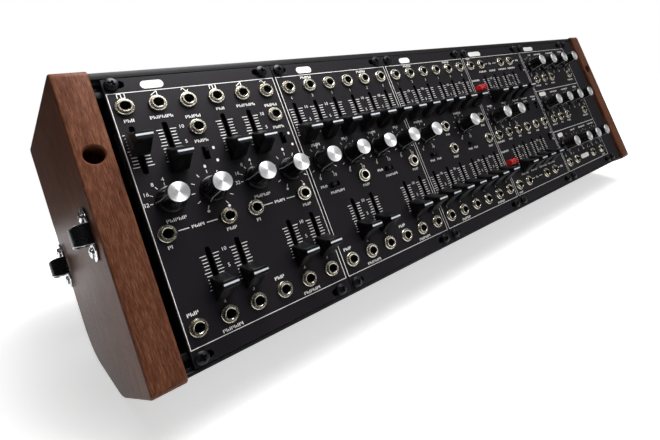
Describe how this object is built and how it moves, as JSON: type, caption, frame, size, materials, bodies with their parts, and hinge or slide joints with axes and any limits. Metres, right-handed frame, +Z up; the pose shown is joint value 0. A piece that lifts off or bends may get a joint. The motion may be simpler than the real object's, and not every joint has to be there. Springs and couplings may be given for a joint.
{
  "type": "modular synthesizer",
  "caption": "Desktop modular synthesizer rack leaning back on slanted wooden end cheeks, with black panels full of patch jacks, turning knobs, sliders, slide switches and red push buttons.",
  "frame": {"origin": "middle of the footprint of the whole object, on the surface that it stands on", "axes": "+X to the right along the row of modules, +Y away from the player, +Z up; the panels face -Y and lean back 30 degrees"},
  "size_m": [0.4762, 0.1486, 0.1441],
  "materials": {
    "lacquered_wood": "satin lacquer over reddish-brown hardwood",
    "black_rail": "black anodised",
    "black_steel": "black oxide",
    "painted_cover": "black powder coat",
    "circuit_board": "black solder mask on glass epoxy",
    "black_plastic": "moulded, fine matte",
    "black_panel": "black anodised with white print",
    "nickel": "bright nickel plated; the strap loops chromium plated with a black lacquered bridge",
    "red_lens": "moulded, glossy red",
    "knob_plastic": "moulded, glossy, with a spun metal cap",
    "cap_plastic": "moulded, satin"
  },
  "bodies": {
    "root": {"cheek_left": "lacquered_wood", "cheek_right": "lacquered_wood", "rail_top": "black_rail", "rail_bottom": "black_rail", "screw_strip_top": "black_steel", "screw_strip_bottom": "black_steel", "rear_cover": "painted_cover", "supply_inlet": "black_plastic", "power_board": "circuit_board", "oscillator_panel": "black_panel", "oscillator_board": "circuit_board", "filter_panel": "black_panel", "filter_board": "circuit_board", "amplifier_panel": "black_panel", "amplifier_board": "circuit_board", "envelope_panel": "black_panel", "envelope_board": "circuit_board", "effects_panel": "black_panel", "effects_board": "circuit_board", "blank_panel": "black_panel", "strap_loop_left_front": "nickel", "strap_loop_left_rear": "nickel", "strap_loop_right_front": "nickel", "strap_loop_right_rear": "nickel"},
    "oscillator_knob_1": {"oscillator_knob_1": "knob_plastic"},
    "oscillator_knob_2": {"oscillator_knob_2": "knob_plastic"},
    "oscillator_knob_3": {"oscillator_knob_3": "knob_plastic"},
    "oscillator_knob_4": {"oscillator_knob_4": "knob_plastic"},
    "oscillator_slider_1": {"oscillator_slider_1": "cap_plastic"},
    "oscillator_slider_2": {"oscillator_slider_2": "cap_plastic"},
    "oscillator_slider_3": {"oscillator_slider_3": "cap_plastic"},
    "oscillator_slider_4": {"oscillator_slider_4": "cap_plastic"},
    "oscillator_slider_5": {"oscillator_slider_5": "cap_plastic"},
    "oscillator_slider_6": {"oscillator_slider_6": "cap_plastic"},
    "oscillator_slider_7": {"oscillator_slider_7": "cap_plastic"},
    "oscillator_slider_8": {"oscillator_slider_8": "cap_plastic"},
    "oscillator_switch_1": {"oscillator_switch_1": "cap_plastic"},
    "oscillator_switch_2": {"oscillator_switch_2": "cap_plastic"},
    "filter_knob_1": {"filter_knob_1": "knob_plastic"},
    "filter_knob_2": {"filter_knob_2": "knob_plastic"},
    "filter_knob_3": {"filter_knob_3": "knob_plastic"},
    "filter_knob_4": {"filter_knob_4": "knob_plastic"},
    "amplifier_knob_1": {"amplifier_knob_1": "knob_plastic"},
    "amplifier_knob_2": {"amplifier_knob_2": "knob_plastic"},
    "envelope_knob_1": {"envelope_knob_1": "knob_plastic"},
    "envelope_knob_2": {"envelope_knob_2": "knob_plastic"},
    "envelope_button_1": {"envelope_button_1": "red_lens"},
    "envelope_button_2": {"envelope_button_2": "red_lens"},
    "effects_knob_1": {"effects_knob_1": "knob_plastic"},
    "effects_knob_2": {"effects_knob_2": "knob_plastic"},
    "effects_knob_3": {"effects_knob_3": "knob_plastic"},
    "effects_knob_4": {"effects_knob_4": "knob_plastic"},
    "effects_knob_5": {"effects_knob_5": "knob_plastic"},
    "effects_knob_6": {"effects_knob_6": "knob_plastic"},
    "effects_knob_7": {"effects_knob_7": "knob_plastic"},
    "effects_knob_8": {"effects_knob_8": "knob_plastic"},
    "effects_knob_9": {"effects_knob_9": "knob_plastic"},
    "effects_knob_10": {"effects_knob_10": "knob_plastic"},
    "effects_knob_11": {"effects_knob_11": "knob_plastic"},
    "effects_knob_12": {"effects_knob_12": "knob_plastic"}
  },
  "joints": [
    {"name": "oscillator_turn_1", "type": "hinge", "parent": "root", "child": "oscillator_knob_1", "pos_m": [-0.2016, -0.03724, 0.0897], "axis": [0, 0.866, -0.5], "range_deg": [0, 150]},
    {"name": "oscillator_turn_2", "type": "hinge", "parent": "root", "child": "oscillator_knob_2", "pos_m": [-0.18288, -0.03724, 0.0897], "axis": [0, 0.866, -0.5], "range_deg": [0, 300]},
    {"name": "oscillator_turn_3", "type": "hinge", "parent": "root", "child": "oscillator_knob_3", "pos_m": [-0.16096, -0.03724, 0.0897], "axis": [0, 0.866, -0.5], "range_deg": [0, 150]},
    {"name": "oscillator_turn_4", "type": "hinge", "parent": "root", "child": "oscillator_knob_4", "pos_m": [-0.14224, -0.03724, 0.0897], "axis": [0, 0.866, -0.5], "range_deg": [-73, 227]},
    {"name": "oscillator_slide_1", "type": "slide", "parent": "root", "child": "oscillator_slider_1", "axis": [0, 0.5, 0.866], "range_m": [-0.0099, 0.0051]},
    {"name": "oscillator_slide_2", "type": "slide", "parent": "root", "child": "oscillator_slider_2", "axis": [0, 0.5, 0.866], "range_m": [0, 0.015]},
    {"name": "oscillator_slide_3", "type": "slide", "parent": "root", "child": "oscillator_slider_3", "axis": [0, 0.5, 0.866], "range_m": [0, 0.015]},
    {"name": "oscillator_slide_4", "type": "slide", "parent": "root", "child": "oscillator_slider_4", "axis": [0, 0.5, 0.866], "range_m": [0, 0.015]},
    {"name": "oscillator_slide_5", "type": "slide", "parent": "root", "child": "oscillator_slider_5", "axis": [0, 0.5, 0.866], "range_m": [0, 0.015]},
    {"name": "oscillator_slide_6", "type": "slide", "parent": "root", "child": "oscillator_slider_6", "axis": [0, 0.5, 0.866], "range_m": [0, 0.015]},
    {"name": "oscillator_slide_7", "type": "slide", "parent": "root", "child": "oscillator_slider_7", "axis": [0, 0.5, 0.866], "range_m": [0, 0.015]},
    {"name": "oscillator_slide_8", "type": "slide", "parent": "root", "child": "oscillator_slider_8", "axis": [0, 0.5, 0.866], "range_m": [0, 0.015]},
    {"name": "oscillator_switching_1", "type": "slide", "parent": "root", "child": "oscillator_switch_1", "axis": [0, 0.5, 0.866], "range_m": [-0.003, 0]},
    {"name": "oscillator_switching_2", "type": "slide", "parent": "root", "child": "oscillator_switch_2", "axis": [0, 0.5, 0.866], "range_m": [-0.003, 0]},
    {"name": "filter_turn_1", "type": "hinge", "parent": "root", "child": "filter_knob_1", "pos_m": [-0.12192, -0.03724, 0.0897], "axis": [0, 0.866, -0.5], "range_deg": [0, 300]},
    {"name": "filter_turn_2", "type": "hinge", "parent": "root", "child": "filter_knob_2", "pos_m": [-0.1016, -0.03724, 0.0897], "axis": [0, 0.866, -0.5], "range_deg": [0, 300]},
    {"name": "filter_turn_3", "type": "hinge", "parent": "root", "child": "filter_knob_3", "pos_m": [-0.08128, -0.03724, 0.0897], "axis": [0, 0.866, -0.5], "range_deg": [0, 300]},
    {"name": "filter_turn_4", "type": "hinge", "parent": "root", "child": "filter_knob_4", "pos_m": [-0.06096, -0.03724, 0.0897], "axis": [0, 0.866, -0.5], "range_deg": [0, 300]},
    {"name": "amplifier_turn_1", "type": "hinge", "parent": "root", "child": "amplifier_knob_1", "pos_m": [-0.03994, -0.03724, 0.0897], "axis": [0, 0.866, -0.5], "range_deg": [0, 300]},
    {"name": "amplifier_turn_2", "type": "hinge", "parent": "root", "child": "amplifier_knob_2", "pos_m": [0.0007, -0.03724, 0.0897], "axis": [0, 0.866, -0.5], "range_deg": [0, 300]},
    {"name": "envelope_turn_1", "type": "hinge", "parent": "root", "child": "envelope_knob_1", "pos_m": [0.04134, -0.03724, 0.0897], "axis": [0, 0.866, -0.5], "range_deg": [0, 300]},
    {"name": "envelope_turn_2", "type": "hinge", "parent": "root", "child": "envelope_knob_2", "pos_m": [0.06096, -0.03724, 0.0897], "axis": [0, 0.866, -0.5], "range_deg": [0, 300]},
    {"name": "envelope_press_1", "type": "slide", "parent": "root", "child": "envelope_button_1", "axis": [0, 0.866, -0.5], "range_m": [0, 0.001], "stiffness_N_per_m": 800, "springref_m": -0.0005},
    {"name": "envelope_press_2", "type": "slide", "parent": "root", "child": "envelope_button_2", "axis": [0, 0.866, -0.5], "range_m": [0, 0.001], "stiffness_N_per_m": 800, "springref_m": -0.0005},
    {"name": "effects_turn_1", "type": "hinge", "parent": "root", "child": "effects_knob_1", "pos_m": [0.12192, -0.01834, 0.12244], "axis": [0, 0.866, -0.5], "range_deg": [0, 300]},
    {"name": "effects_turn_2", "type": "hinge", "parent": "root", "child": "effects_knob_2", "pos_m": [0.14224, -0.01834, 0.12244], "axis": [0, 0.866, -0.5], "range_deg": [0, 300]},
    {"name": "effects_turn_3", "type": "hinge", "parent": "root", "child": "effects_knob_3", "pos_m": [0.16256, -0.01834, 0.12244], "axis": [0, 0.866, -0.5], "range_deg": [0, 300]},
    {"name": "effects_turn_4", "type": "hinge", "parent": "root", "child": "effects_knob_4", "pos_m": [0.18288, -0.01834, 0.12244], "axis": [0, 0.866, -0.5], "range_deg": [0, 300]},
    {"name": "effects_turn_5", "type": "hinge", "parent": "root", "child": "effects_knob_5", "pos_m": [0.12192, -0.03724, 0.0897], "axis": [0, 0.866, -0.5], "range_deg": [0, 300]},
    {"name": "effects_turn_6", "type": "hinge", "parent": "root", "child": "effects_knob_6", "pos_m": [0.14224, -0.03724, 0.0897], "axis": [0, 0.866, -0.5], "range_deg": [0, 300]},
    {"name": "effects_turn_7", "type": "hinge", "parent": "root", "child": "effects_knob_7", "pos_m": [0.16256, -0.03724, 0.0897], "axis": [0, 0.866, -0.5], "range_deg": [0, 300]},
    {"name": "effects_turn_8", "type": "hinge", "parent": "root", "child": "effects_knob_8", "pos_m": [0.18288, -0.03724, 0.0897], "axis": [0, 0.866, -0.5], "range_deg": [0, 300]},
    {"name": "effects_turn_9", "type": "hinge", "parent": "root", "child": "effects_knob_9", "pos_m": [0.12192, -0.05719, 0.05515], "axis": [0, 0.866, -0.5], "range_deg": [0, 300]},
    {"name": "effects_turn_10", "type": "hinge", "parent": "root", "child": "effects_knob_10", "pos_m": [0.14622, -0.05719, 0.05515], "axis": [0, 0.866, -0.5], "range_deg": [0, 300]},
    {"name": "effects_turn_11", "type": "hinge", "parent": "root", "child": "effects_knob_11", "pos_m": [0.16459, -0.05719, 0.05515], "axis": [0, 0.866, -0.5], "range_deg": [0, 300]},
    {"name": "effects_turn_12", "type": "hinge", "parent": "root", "child": "effects_knob_12", "pos_m": [0.18288, -0.05719, 0.05515], "axis": [0, 0.866, -0.5], "range_deg": [0, 300]}
  ]
}
